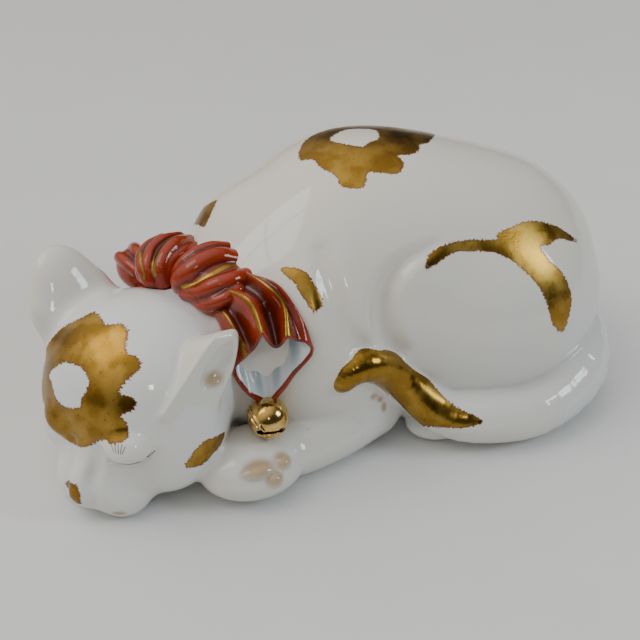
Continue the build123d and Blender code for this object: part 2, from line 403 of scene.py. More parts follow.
def walled(points, quads, normals, wall):
    """A closed shell: the surface, its copy moved inwards and strips between their borders."""
    n = len(points)
    edges = sides(quads)
    _, inverse, counts = np.unique(np.sort(edges, axis=1), axis=0, return_inverse=True, return_counts=True)
    rim = edges[counts[inverse.ravel()] == 1]
    strips = np.stack((rim[:, 1], rim[:, 0], rim[:, 0] + n, rim[:, 1] + n), 1)
    return (
        np.vstack((points, points - normals * wall)),
        np.vstack((quads, quads[:, ::-1] + n, strips)),
        np.vstack((normals, -normals)),
    )


def ring_quads(rows, columns):
    """Quads between closed rings; the last row joins the last ring to the first."""
    here = np.arange(rows * columns).reshape(rows, columns)
    there = np.roll(here, -1, 0)
    return np.stack((here, np.roll(here, -1, 1), np.roll(there, -1, 1), there), -1)


def turned_outwards(mesh):
    work = bmesh.new()
    work.from_mesh(mesh)
    bmesh.ops.recalc_face_normals(work, faces=work.faces)
    work.to_mesh(mesh)
    work.free()


def fitted(node, slot, material, points, faces, normals=None, layers=None):
    """The piece that stands for a node; the layers are numbers at its points for the material."""
    name = f"{node}_form"
    mesh = bpy.data.meshes.new(name)
    mesh.from_pydata((np.asarray(points, float) * MM).tolist(), [], [tuple(map(int, face)) for face in faces])
    mesh.validate()
    mesh.shade_smooth()
    mesh.materials.append(material)
    for key, values in (layers or {}).items():
        layer = mesh.attributes.new(key, "FLOAT", "POINT")
        layer.data.foreach_set("value", np.asarray(values, FLOAT))
    if normals is None:
        turned_outwards(mesh)
    else:
        mesh.normals_split_custom_set_from_vertices(np.asarray(normals, float).tolist())
    piece = bpy.data.objects.new(name, mesh)
    bpy.context.scene.collection.objects.link(piece)
    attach(piece, "root")
    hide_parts(node)


# ---- painted decoration

NO_GOLD = 30.0  # distance stored where no gold is near
EDGE_ON = 0.05  # how much a point has to face a drawing to be painted by it


def outline_distance(xy, outline):
    """Signed distance to a closed outline, negative inside, and the way travelled along it."""
    curve = closed_path(outline)
    best = np.full(len(xy), FAR_OFF)
    travel = np.zeros(len(xy))
    inside = np.zeros(len(xy), bool)
    passed = 0.0
    for a, b in zip(curve, np.roll(curve, -1, 0)):
        run = b - a
        share = np.clip(((xy - a) @ run) / max(run @ run, TINY), 0, 1)
        away = norm(xy - a - share[:, None] * run, axis=1)
        travel = np.where(away < best, passed + share * norm(run), travel)
        best = np.minimum(best, away)
        straddle = (a[1] > xy[:, 1]) != (b[1] > xy[:, 1])
        crossing = a[0] + (xy[:, 1] - a[1]) / (b[1] - a[1] + 1e-12) * run[0]
        inside ^= straddle & (xy[:, 0] < crossing)
        passed += norm(run)
    return np.where(inside, -best, best), travel


class Patch:
    """A painted patch: its outline and holes are drawn in mm on a plane."""

    def __init__(self, centre, facing, outline, holes=(), across=(1, 0, 0), turn=np.eye(3)):
        self.axes = drawing_plane(facing, across) @ turn
        self.centre = np.asarray(centre, float)
        self.outlines = (outline, *holes)

    def measured(self, p, n):
        """Signed distance to the patch, distance to its nearest outline and the way along it."""
        flat = (p - self.centre) @ self.axes[:2].T
        value = np.full(len(p), -FAR_OFF)
        nearest = np.full(len(p), FAR_OFF)
        along = np.zeros(len(p))
        for number, outline in enumerate(self.outlines):
            signed, travel = outline_distance(flat, outline)
            value = np.maximum(value, -signed if number else signed)
            along = np.where(abs(signed) < nearest, travel, along)
            nearest = np.minimum(nearest, abs(signed))
        return np.where(n @ self.axes[2] > EDGE_ON, value, NO_GOLD), nearest, along


HEAD_GOLD = (
    Patch(  # forehead
        HEAD_CENTRE, (0.45, -0.35, 0.82),
        ((-21, -5), (-24, 0), (-22, 6), (-20, 10), (-21, 14), (-19, 18), (-15, 20), (-11, 22), (-10, 25),
         (-6, 27), (3, 23), (5, 27), (9, 27), (12, 23), (14, 24), (17, 24), (21, 24), (23, 19), (22, 16),
         (24, 10), (27, 3), (26, -6), (23, -13), (19, -19), (12, -22), (4, -26), (-4, -25), (-10, -18),
         (-17, -12)),
        holes=(((1, -11), (-4, -2), (-4, 6), (-2, 10), (1, 12), (5, 11), (8, 9), (11, 8), (12, 1), (10, -5),
                (5, -8)),),
        turn=HEAD_AXES,
    ),
    Patch(  # near cheek
        HEAD_CENTRE, (0.35, 0.93, 0.1),
        ((-7, 13), (-3, 7), (0, 4), (5, 3), (9, 4), (12, 5), (11, 8), (7, 12), (2, 13), (-3, 15)),
        turn=HEAD_AXES,
    ),
    Patch(  # nose
        on_head(45, 0, 0), (0.8, -0.1, 0.6),
        ((-7, -2), (-3, 1), (1, 2), (3, -1), (3, -6), (1, -7), (-2, -5), (-7, -5)),
        across=(0, 1, 0), turn=HEAD_AXES,
    ),
)
BODY_GOLD = (
    Patch(  # back
        (16, 13, 100), (0, -0.2, 1),
        ((-23, 7), (-18, 14), (-12, 18), (-5, 19), (2, 18), (16, 16), (30, 13), (37, 9), (35, 3), (28, -5),
         (24, -6), (21, -11), (16, -13), (11, -13), (12, -17), (8, -22), (2, -21), (-4, -19), (-6, -23),
         (-9, -25), (-12, -24), (-16, -21), (-16, -17), (-18, -13), (-20, -9), (-21, -3), (-25, 0)),
        holes=(((-10, 7), (-2, 12), (5, 11), (10, 8), (8, 0), (2, -3), (-1, -5), (-5, -2), (-8, 1),
                (-10, 4)),),
    ),
    Patch(  # near shoulder
        (-20, -40, 70), (-0.3, -0.7, 0.6),
        ((-10, 20), (-8, 21), (-3, 19), (0, 16), (2, 10), (3, 6), (2, 3), (0, 2), (-1, 0), (-2, 3), (-4, 8),
         (-6, 14)),
    ),
    Patch(  # far shoulder blade
        (-40, 10, 85), (-0.5, -0.4, 0.76),
        ((-6, 16), (-1, 14), (-2, 11), (-6, 6), (-9, 4), (-12, 8), (-16, 14), (-13, 20)),
    ),
    Patch(  # haunch
        (63, -19, 80), (0.35, -0.65, 0.66),
        ((-42, -14), (-41, -10), (-37, -7), (-27, -6), (-14, -8), (-13, -6), (-5, -4), (4, -3), (15, -6),
         (24, -11), (27, -14), (15, -12), (8, -14), (4, -14), (7, -20), (12, -25), (15, -30), (17, -36),
         (16, -43), (14, -48), (8, -45), (5, -40), (2, -33), (-1, -28), (-4, -24), (-9, -18), (-16, -13),
         (-24, -11), (-31, -10), (-36, -12)),
    ),
)
TAIL_GOLD = Patch(  # tail tip
    (10, -35, 25), (0, -0.8, 0.6),
    ((-33, 3), (-30, 16), (-21, 24), (-9, 24), (2, 20), (9, 12), (13, 4), (16, -3), (19, -9), (24, -15),
     (32, -22), (24, -23), (16, -21), (6, -18), (-1, -12), (-8, -6), (-14, -3), (-21, -2), (-30, -2)),
)
GOLD = {"trunk_shell": BODY_GOLD, "head_shell": HEAD_GOLD}
GOLD_CREASE = 0.25  # reach of its gold out of the tail's surface
# Stains: middle and radii
PADS = (
    ((-52, -61.5, 21), (10, 6.5, 6)), ((-41.6, -59.5, 20.5), (5.5, 5.5, 5)),
    ((-46.4, -64.5, 17), (5.5, 5.5, 5)),
)
EAR_STAIN = (on_head(-5.5, 38, 14.5), (5.5, 5.2, 4.5))
DRIPS = (((1.5, -46, 29.5), (2.4, 3, 2.4)), ((4.5, -46, 27), (2, 3, 2)), ((6.2, -46, 22.8), (1.8, 3, 3.4)))
CHIN_STAIN = (on_head(50, 14, -10), (4, 3, 2))
STAINS = {"near_forepaw": PADS, "near_ear": (EAR_STAIN,), "head_shell": (EAR_STAIN, CHIN_STAIN)}
STAINS.update({node: DRIPS for node in ("near_foreleg", "trunk_shell", "hind_foot")})


def soft_spot(p, centre, radii):
    """1 at the middle of a stain, fading to 0 at its edge."""
    near = np.sqrt((((p - np.asarray(centre)) / np.asarray(radii)) ** 2).sum(-1))
    return np.clip(1.5 - 1.5 * near, 0, 1)


# ---- materials

class Shading:
    """Shader nodes of one tree."""

    def __init__(self, tree):
        self.nodes = tree.nodes
        self.links = tree.links

    def feed(self, target, value):
        if isinstance(value, bpy.types.NodeSocket):
            self.links.new(value, target)
        else:
            target.default_value = (*value, 1.0) if target.type == "RGBA" else value

    def add(self, kind, **inputs):
        """A new node; underscores stand for the spaces in the names of its inputs."""
        node = self.nodes.new("ShaderNode" + kind)
        for socket, value in inputs.items():
            self.feed(node.inputs[socket.replace("_", " ")], value)
        return node

    def math(self, operation, *values, kind="Math"):
        node = self.add(kind)
        node.operation = operation
        for target, value in zip(node.inputs, values):
            self.feed(target, value)
        return node.outputs[0]

    def vector(self, operation, *values):
        return self.math(operation, *values, kind="VectorMath").node

    def dot(self, a, b):
        return self.vector("DOT_PRODUCT", a, b).outputs["Value"]

    def ramp(self, value, start, end, low=0.0, high=1.0):
        node = self.add("MapRange", Value=value, From_Min=start, From_Max=end, To_Min=low, To_Max=high)
        node.interpolation_type = "SMOOTHSTEP"
        return node.outputs["Result"]

    def mix(self, share, a, b):
        node = self.add("Mix")
        node.data_type = "RGBA"
        self.feed(node.inputs["Factor"], share)
        colours = [socket for socket in node.inputs if socket.type == "RGBA"]
        for target, value in zip(colours, (a, b)):
            self.feed(target, value)
        return next(socket for socket in node.outputs if socket.type == "RGBA")


class Finish(Shading):
    """A material with one Principled shader; its textures are fixed to the object."""

    def __init__(self, name, **settings):
        self.material = bpy.data.materials.new(name)
        self.material.use_nodes = True
        super().__init__(self.material.node_tree)
        self.place = self.add("TexCoord").outputs["Object"]
        self.output(**settings)

    def output(self, **settings):
        for socket, value in settings.items():
            self.feed(self.nodes["Principled BSDF"].inputs[socket.replace("_", " ")], value)
        return self.material

    def noise(self, size, detail=3.0):
        """Noise of about 0 to 1 with features of the given size."""
        return self.add("TexNoise", Vector=self.place, Scale=1 / size, Detail=detail).outputs["Fac"]

    def specks(self, size, radius, share, seed):
        """1 inside small dots: one cell in every 1 / share holds a dot."""
        moved = self.add("Mapping", Vector=self.place, Location=(seed, seed / 2, 0)).outputs[0]
        cells = self.add("TexVoronoi", Vector=moved, Scale=1 / size)
        draw = self.add("SeparateColor", Color=cells.outputs["Color"]).outputs[0]
        dot = self.ramp(cells.outputs["Distance"], radius / size, radius / size * 0.6)
        return self.math("MULTIPLY", self.math("LESS_THAN", draw, share), dot)

    def layer(self, name):
        node = self.add("Attribute")
        node.attribute_name = name
        return node.outputs["Fac"]

    def bump(self, height, distance, strength=1.0, **before):
        node = self.add("Bump", Height=height, Distance=distance, Strength=strength, **before)
        return node.outputs["Normal"]

    def flattened(self, origin, axes):
        """The place on a drawing plane, in mm."""
        away = self.vector("SUBTRACT", self.place, origin * MM).outputs["Vector"]
        x, y = (self.dot(away, axis / MM) for axis in axes[:2])
        return self.add("CombineXYZ", X=x, Y=y).outputs[0]

    def segment(self, flat, a, b):
        """Distance in mm on the drawing plane to the line from a to b."""
        a, b = np.append(a, 0), np.append(b, 0)
        run = b - a
        away = self.vector("SUBTRACT", flat, a).outputs["Vector"]
        along = self.dot(away, run / (run @ run))
        scaled = self.vector("SCALE", run)
        self.feed(scaled.inputs["Scale"], self.math("MINIMUM", self.math("MAXIMUM", along, 0.0), 1.0))
        return self.vector("DISTANCE", away, scaled.outputs["Vector"]).outputs["Value"]


GOLD_DARK = (0.09, 0.045, 0.008)
GOLD_MID = (0.26, 0.14, 0.020)
GOLD_LIGHT = (0.40, 0.24, 0.048)
IRON_RED = (0.17, 0.03, 0.012)
GOLD_FILM = 0.00006  # height of the gold over the glaze


def gilded(finish, colour, hair, gloss, relief, wave):
    """A glaze under brushed gold; relief holds the shares of grain and film in the gold's height."""
    along = finish.add("CombineXYZ", X=finish.layer("along")).outputs[0]
    hairs = finish.add("TexNoise", Vector=along, Scale=1.15, Detail=2.5, Roughness=0.75).outputs["Fac"]
    comb = finish.math("MULTIPLY_ADD", hairs, 4.2 * hair, -2.1 * hair)
    dents = finish.math("MULTIPLY_ADD", finish.noise(0.0016, 3), 1.2 * hair, -0.6 * hair)
    edge = finish.math("ADD", finish.math("ADD", finish.layer("gold"), comb), dents)
    mask = finish.ramp(edge, 0.10, -0.10)
    film = finish.noise(0.009, 4)
    fine = finish.noise(0.0011, 2)
    tone = finish.mix(finish.ramp(film, 0.38, 0.66), GOLD_MID, GOLD_LIGHT)
    tone = finish.mix(finish.ramp(fine, 0.62, 0.74, 0, 0.55), tone, GOLD_DARK)
    tone = finish.mix(finish.specks(0.0022, 0.00022, 0.30, 3.1), tone, (0.02, 0.010, 0.004))
    tone = finish.mix(finish.ramp(edge, -0.75, -0.10), tone, IRON_RED)
    rough = finish.ramp(film, 0.3, 0.7, 0.20, 0.36)
    height = finish.math("MULTIPLY", mask, finish.math("MULTIPLY_ADD", fine, *relief))
    return finish.output(
        Base_Color=finish.mix(mask, colour, tone),
        Metallic=finish.math("MULTIPLY", mask, finish.ramp(edge, -0.12, -0.6, 0.25, 1.0)),
        Roughness=finish.math("MULTIPLY_ADD", mask, finish.math("SUBTRACT", rough, gloss), gloss),
        Normal=finish.bump(height, GOLD_FILM, Normal=finish.bump(*wave)),
    )


def porcelain(name, eyes=(), warm=(0.76, 0.715, 0.635), cool=(0.73, 0.725, 0.69)):
    """White glaze with gold, soft stains and the lines of the closed eyes."""
    finish = Finish(name, IOR=1.52, Specular_IOR_Level=0.55)
    white = finish.mix(finish.ramp(finish.noise(0.07, 2), 0.35, 0.65), warm, cool)
    white = finish.mix(finish.ramp(finish.noise(0.02, 3), 0.5, 0.75, 0, 0.4), white, (0.745, 0.69, 0.59))
    white = finish.mix(finish.ramp(finish.layer("stain"), 0, 1, 0, 0.85), white, (0.45, 0.30, 0.15))
    white = finish.mix(finish.specks(0.012, 0.00028, 0.22, 9.7), white, (0.10, 0.06, 0.04))
    for axes, strokes in eyes:
        flat = finish.flattened(HEAD_CENTRE, axes)
        for rows, half_width in strokes:
            for a, b in zip(rows[:-1], rows[1:]):
                drawn = finish.ramp(finish.segment(flat, a, b), half_width * 1.4, half_width * 0.4, 0, 0.85)
                white = finish.mix(drawn, white, (0.05, 0.045, 0.04))
    return gilded(finish, white, 1.0, 0.07, (0.35, 0.65), (finish.noise(0.016, 1.5), 0.00022, 0.5))


# Closed eyes on the head's axes: the lid line with its half widths, and the lashes above it
LID_LINE = (
    (((35.1, 10.5, 9.0), (35.7, 16.3, 11.2)), 0.3),
    (((35.7, 16.3, 11.2), (34.8, 20.1, 10.9), (32.6, 23.4, 10.6), (29.6, 24.6, 8.5)), 0.5),
    (((29.6, 24.6, 8.5), (26.2, 26.3, 9.1)), 0.3),
)
LASHES = (
    ((31.3, 13.5, 17.2), (33.3, 15.2, 16.0)), ((30.6, 14.8, 17.6), (33.3, 16.3, 15.9)),
    ((30.3, 16.2, 17.6), (33.1, 17.2, 15.9)), ((29.9, 17.7, 17.5), (33.1, 17.9, 15.8)),
    ((30.1, 19.1, 17.2), (32.8, 18.6, 15.8)),
)
LASH = 0.19  # half width


def eye_drawing(side):
    """The eye of one side as strokes on a plane that faces along the cheek."""
    mirror = np.array((1, side, 1))
    axes = drawing_plane(np.array((0.8, 0.35, 0.5)) * mirror, (0, 1, 0))
    strokes = [
        ([(np.asarray(row) * mirror) @ axes[:2].T for row in rows], half_width)
        for rows, half_width in (*LID_LINE, *((lash, LASH) for lash in LASHES))
    ]
    return axes @ HEAD_AXES, strokes


# ---- the glazed castings

FLOOR_GAP = 0.35  # the flat underside lies below this height
FOOT_WIDTH = 5.0  # of the rim that is left round the opening in it
CASTINGS_ROOM = ((-130.0, -75.0, -3.0), (129.0, 75.0, 120.0))


def paint_layers(node, p, n):
    """Layers of a casting: distance to gold, place along its edge and soft stains."""
    gold = np.full(len(p), NO_GOLD)
    nearest = np.full(len(p), FAR_OFF)
    along = np.zeros(len(p))
    for number, patch in enumerate((*GOLD.get(node, ()), TAIL_GOLD)):
        value, away, travel = patch.measured(p, n)
        if patch is TAIL_GOLD:
            value = np.maximum(value, (tail_field(p) - GOLD_CREASE) * 10)
        gold = np.minimum(gold, value)
        if patch is not TAIL_GOLD or node == "tail":
            along = np.where(away < nearest, travel + 100 * number, along)
            nearest = np.minimum(nearest, away)
    stain = np.zeros(len(p))
    for centre, radii in STAINS.get(node, ()):
        stain = np.maximum(stain, soft_spot(p, centre, radii))
    return {"gold": np.clip(gold, -NO_GOLD, NO_GOLD), "along": along, "stain": stain}


def compact(points, quads):
    used, inverse = np.unique(quads, return_inverse=True)
    return points[used], inverse.reshape(-1, quads.shape[1])


def castings():
    """The glazed surface cut into closed shells, each where its own field is the nearest."""
    points, quads, _ = skin(glazed_field, *CASTINGS_ROOM, GRID, 3, 0.6)
    middle = points[quads].mean(1)
    nearest = np.stack([field(middle) for _, field, _ in PORCELAIN]).argmin(0)
    underside = (middle[:, 2] < FLOOR_GAP) & (trunk_field(middle) < -FOOT_WIDTH)
    plain = porcelain("porcelain_glaze")
    eyes = (eye_drawing(1), eye_drawing(-1))
    # The face's glaze is a paler, bluer copy of the body's: painted cool light on the head.
    face = porcelain("porcelain_face", eyes, warm=(0.77, 0.755, 0.715), cool=(0.74, 0.76, 0.77))
    for number, (node, _, _) in enumerate(PORCELAIN):
        p, q = compact(points, quads[(nearest == number) & ~underside])
        if node != "trunk_shell":
            p, q = subdivided(p, q)
            p = settled(glazed_field, p, 2, 0.3)
        n = normals_of(glazed_field, p)
        layers = {key: np.tile(values, 2) for key, values in paint_layers(node, p, n).items()}
        p, q, n = walled(p, q, n, SHELL if node in ("trunk_shell", "head_shell") else THIN_SHELL)
        fitted(node, "porcelain_white", face if node == "head_shell" else plain, p, q, n, layers)


# ---- the ribbon

RIBBON_CELL = 0.62
FOLD_SUNK = 0.45  # share of its radius that a fold lies under the bow's surface
NECK_POINT = np.array((-66.0, -7.0, 44.0))
NECK_AXIS = unit((-36, -16, -5))
BOW_ROOM = 5.0  # round the lumps of a bow part, for its folds
NOT_WHITE = -5.0  # the layer on the red outside; it is positive on the pale inside


def ribbon_frame():
    """Rows: towards the body, towards the near side, up."""
    across = -NECK_AXIS
    along = unit(np.cross(across, (0, 0, 1)))
    return np.array((across, along, np.cross(across, along)))


RIBBON_AXES = ribbon_frame()
# Parts of the bow: their lumps, then their folds as points near the surface and a radius
LOOP = (
    (((-66, 10, 74.5), (14.5, 11.5, 9.6), 0),),
    (
        (((-66, 20, 83), (-73, 17, 82), (-77, 10, 80), (-78, 4, 78), (-77, 0, 73)), 2.6),
        (((-58, 19, 83), (-66, 14, 85), (-72, 10, 84), (-75, 5, 82), (-76, 2, 79), (-75, -1, 73)), 2.7),
        (((-53, 18, 80), (-61, 9, 85), (-66, 5, 84), (-69, 2, 82), (-71, -1, 79), (-71, -2, 72)), 3.4),
        (((-51, 10, 82), (-57, 4, 85), (-62, 1, 84), (-66, -1, 82), (-68, -2, 78), (-69, -3, 72)), 2.2),
    ),
)
KNOT = (
    (((-53, -6, 76.5), (14.5, 11.5, 10.4), 0), ((-49, -18, 74.5), (12, 9, 8.5), 6)),
    (
        (((-44, -3, 85), (-51, -3, 88), (-58, -4, 87), (-63, -4, 84), (-66, -4, 78), (-67, -3, 71)), 3.0),
        (((-41, -9, 85), (-49, -10, 88), (-57, -11, 86.5), (-62, -11, 83), (-66, -9, 78), (-67, -5, 71)),
         4.2),
        (((-40, -19, 82), (-48, -22, 83), (-55, -21, 80), (-60, -18, 76), (-65, -13, 73)), 3.4),
        (((-46, -27, 80), (-53, -27, 77), (-58, -22, 73), (-63, -15, 70)), 2.8),
        (((-54, -26, 70), (-59, -22, 69), (-64, -15, 67)), 2.4),
    ),
)
FAR_END = (
    (((-74, 24, 65), (10, 13, 9), 0),),
    (
        (((-80, 14, 72), (-82, 22, 72), (-81, 30, 68), (-78, 36, 60)), 2.6),
        (((-73, 16, 75), (-75, 24, 74), (-75, 32, 68), (-73, 38, 60)), 2.8),
        (((-66, 18, 74), (-67, 26, 72), (-68, 34, 65), (-68, 40, 58)), 2.4),
    ),
)
# Gold lines on the bow: points, half width
LOOP_LINES = (
    (((-62, 11, 85), (-68, 7, 84), (-71, 3, 82), (-73, 1, 80), (-73, -1, 77)), 1.35),
    (((-76, 12, 81), (-77, 6, 80), (-77, 2, 78), (-77, 1, 75)), 0.9),
)
KNOT_LINES = (
    (((-41, -14, 84), (-49, -16, 85), (-54, -17, 83), (-58, -17, 81), (-62, -16, 79), (-65, -13, 77)), 1.25),
    (((-62, -17, 76), (-60, -18, 75), (-56, -21, 75)), 0.6),
)


def folded_field(lumps, folds):
    """Blended ellipsoids with rounded folds laid over them."""
    def base(p):
        return masses(p, lumps, RIBBON_AXES)

    bars = []
    for rows, radius in folds:
        points = settled(base, np.asarray(rows, float), 12, 3.0)
        points -= normals_of(base, points) * radius * FOLD_SUNK
        bars.append(np.column_stack((points, np.full(len(points), radius))))

    def field(p):
        value = base(p) + 0.4
        for rows in bars:
            value = blended(value, tube(p, rows, 18), 0.9)
        return value

    return field


def line_distance(field, p, lines):
    """Distance to gold lines laid onto the surface of the field."""
    best = np.full(len(p), NO_GOLD)
    for rows, half_width in lines:
        path = settled(field, np.asarray(rows, float), 8, 1.5)
        path = np.column_stack((path, np.zeros(len(path))))
        best = np.minimum(best, tube(p, path, 16) - half_width)
    return best


def ridges_of(field, p, n, reach=2.2):
    """About 0 in the creases of a surface and 1 on its ridges; the red glaze paints shade and light by it."""
    return np.clip((field(p + n * reach) / reach - 0.55) / 0.6, 0, 1)


def bow_piece(node, lumps, folds, lines, material):
    field = folded_field(lumps, folds)
    low = np.min([np.asarray(centre) - max(radii) for centre, radii, _ in lumps], 0) - BOW_ROOM
    high = np.max([np.asarray(centre) + max(radii) for centre, radii, _ in lumps], 0) + BOW_ROOM
    points, quads, normals = skin(field, low, high, RIBBON_CELL)
    layers = {
        "gold": line_distance(field, points, lines),
        "along": points @ RIBBON_AXES[1] * 0.7,
        # the ridge layer places the painted shade in the creases and the painted light on the ridges
        "ridge": ridges_of(field, points, normals),
        "white": np.full(len(points), NOT_WHITE),
    }
    fitted(node, "ribbon_red", material, points, quads, normals, layers)


def red_glaze():
    """Iron-red enamel with painted light on the ridges of its folds and painted shade in their creases, a
    pale inside with painted shade in its pleats, and gold lines.
    """
    finish = Finish("ribbon_glaze", IOR=1.5, Specular_IOR_Level=0.5)
    ridge = finish.layer("ridge")
    mottle = finish.math("MULTIPLY_ADD", finish.noise(0.006, 4), 0.5, -0.25)
    # Painted shade and light: the red is darkest in the creases of the folds and brightest on their ridges.
    share = finish.ramp(finish.math("ADD", ridge, mottle), 0.15, 0.85)
    red = finish.mix(share, (0.085, 0.008, 0.003), (0.32, 0.030, 0.006))
    red = finish.mix(finish.ramp(finish.noise(0.0015, 3), 0.62, 0.8, 0, 0.3), red, (0.38, 0.06, 0.014))
    red = finish.mix(finish.specks(0.003, 0.00016, 0.25, 5.2), red, (0.06, 0.01, 0.006))
    # Painted shade: the pale inside is bluish grey, darkest along the pleats.
    inside = finish.mix(finish.ramp(ridge, 0.0, 0.7), (0.36, 0.43, 0.46), (0.62, 0.65, 0.66))
    waver = finish.math("MULTIPLY_ADD", finish.noise(0.003, 2), 0.8, -0.4)
    white = finish.ramp(finish.math("ADD", finish.layer("white"), waver), -0.12, 0.12)
    wave = (finish.noise(0.007, 2), 0.00018, 0.6)
    return gilded(finish, finish.mix(white, red, inside), 0.22, 0.12, (1.0, 0.0), wave)


# Rings of the flared end, root to rim: left corner, folds, right corner, underneath
FLARE_RINGS = (
    ((-58, -20, 70), (-56, -19, 72), (-54, -21, 74), (-51, -24, 80), (-45, -22, 79), (-42, -20, 83),
     (-40.8, -20.3, 81.8), (-39.6, -19.6, 81), (-39, -18, 77), (-42, -14, 72), (-45, -13, 70), (-48, -13, 69),
     (-52, -14, 68), (-56, -16, 68)),
    ((-56, -28, 68), (-54, -31, 73), (-51, -30, 73.5), (-46, -34, 81), (-40, -31, 77), (-37, -31, 82),
     (-34.6, -30, 80.3), (-32.6, -30.4, 81.4), (-31, -30.5, 77), (-33, -26, 70), (-38, -24, 68),
     (-43, -22, 66), (-49, -22, 65), (-54, -23, 66)),
    ((-55, -34, 61), (-52, -38, 69), (-49, -36, 69), (-44, -40, 77.5), (-38, -36, 70.5), (-33, -38, 77),
     (-30.9, -38, 73.8), (-27.9, -39.5, 73), (-26.3, -41.3, 69), (-29, -41.5, 62.5), (-34, -36, 57),
     (-41, -34, 54), (-47, -32, 54), (-52, -31, 56)),
    ((-54, -38.5, 52), (-50, -43, 61), (-47, -44, 65), (-44, -47, 73), (-38.5, -45, 64), (-35, -47, 69),
     (-30, -46.5, 66), (-26, -47, 63.8), (-24.3, -46.5, 59), (-30.6, -46.6, 51.5), (-35.6, -45.8, 43.5),
     (-41.5, -44, 37), (-47.5, -43, 39.8), (-52, -41, 45)),
)
# Gold lines on the flared end: place round the ring, half width at root and rim
FLARE_LINES = ((1.0, 0.8, 1.5), (2.85, 0.9, 1.7), (5.1, 0.8, 2.6))
FLARE_SPAN = 12  # columns between two points of a ring
FLARE_ROWS = 56
FLARE_WALL = 1.5
FLARE_INSIDE = 10  # first row that has an inside
RED_BORDER = 1.9
INNER_PLEAT = 0.35


def flare(material):
    """The outside swept through the rings, the lip and the pleated inside."""
    rings = np.array([closed_path(ring, FLARE_SPAN) for ring in FLARE_RINGS])
    columns = rings.shape[1]
    outer = np.stack([smooth_path(rings[:, k], FLARE_ROWS) for k in range(columns)], 1)
    across = np.roll(outer, -1, 1) - np.roll(outer, 1, 1)
    down = np.gradient(outer, axis=0)
    normals = unit(np.cross(across, down))
    if ((outer - outer.mean(1, keepdims=True)) * normals).sum() < 0:
        normals = -normals
    place = np.arange(columns) / FLARE_SPAN
    wave = np.sin(2 * np.pi * 0.8 * place)
    inner = outer - normals * FLARE_WALL
    depth = np.clip(norm(inner - inner[-1], axis=2) / 7, 0, 1)
    inner -= normals * (depth * (1 + wave) * INNER_PLEAT)[..., None]
    lip = (outer[-1] + inner[-1]) / 2 + unit(down[-1]) * FLARE_WALL * 0.35
    grid = np.concatenate((outer, lip[None], inner[FLARE_INSIDE:][::-1]))
    count = len(grid)
    from_rim = norm(inner - inner[-1], axis=2) - RED_BORDER
    outside = np.full((FLARE_ROWS + 1, columns), NOT_WHITE)
    white = np.concatenate((outside, from_rim[FLARE_INSIDE:][::-1]))
    # Painted shade and light of the folds: darker where the outside curves inwards, lighter on its ridges,
    # and on the inside darker along the pleats.
    bend = ((np.roll(outer, 6, 1) + np.roll(outer, -6, 1) - 2 * outer) * -normals).sum(2)
    ridge = np.clip(0.5 + bend * 0.16, 0, 1)
    inner_ridge = np.clip(0.5 - wave * 0.5 * depth, 0, 1)
    ridges = np.concatenate((ridge, ridge[-1:], inner_ridge[FLARE_INSIDE:][::-1]))
    gold = np.full((count, columns), NO_GOLD)
    spacing = norm(across, axis=2) / 2 * FLARE_SPAN
    for at, start, end in FLARE_LINES:
        half_width = np.linspace(start, end, FLARE_ROWS)[:, None]
        gold[:FLARE_ROWS] = np.minimum(gold[:FLARE_ROWS], np.abs(place - at)[None] * spacing - half_width)
    gold[:3] = 3.0  # none at the root
    points = np.vstack((grid.reshape(-1, 3), outer[0].mean(0), inner[FLARE_INSIDE].mean(0)))
    first, last, base = count * columns, count * columns + 1, (count - 1) * columns
    faces = ring_quads(count, columns)[:-1].reshape(-1, 4).tolist()
    faces += [(first, (k + 1) % columns, k) for k in range(columns)]
    faces += [(last, base + k, base + (k + 1) % columns) for k in range(columns)]
    layers = {
        "gold": np.append(gold, (3, 3)),
        "along": np.append(np.repeat(np.arange(count) * 0.6, columns), (0, 0)),
        "ridge": np.append(ridges, (0, 0)),
        "white": np.append(white, (NOT_WHITE, -NOT_WHITE)),
    }
    fitted("ribbon_flare", "ribbon_red", material, points, faces, None, layers)


COLLAR_WIDTH = 12.0
COLLAR_RISE = 1.7
COLLAR_SUNK = 2.4  # under the glaze where flared end and chin cover the band
COLLAR_THICKNESS = 3.4
COLLAR_ROUNDS = 220
COLLAR_STEPS = 17
COLLAR_SHOWN = ((0, 50, 80, 240, 270, 360), (0, 0, 1, 1, 0, 0))  # degrees round the neck, share


def neck_reach(start, radial):
    """Distance from the neck's axis to the glaze, smoothed round the neck."""
    reach = np.full(start.shape[:2], 10.0)
    far = np.full(start.shape[:2], 62.0)
    for _ in range(18):
        half = (reach + far) / 2
        p = (start + radial * half[..., None]).reshape(-1, 3)
        inside = blended(trunk_field(p), head_field(p), 8).reshape(half.shape) < 0
        reach, far = np.where(inside, half, reach), np.where(inside, far, half)
    reach = reach.mean(1)
    for _ in range(40):
        reach = (np.roll(reach, 1) + reach * 2 + np.roll(reach, -1)) / 4
    return reach[:, None]


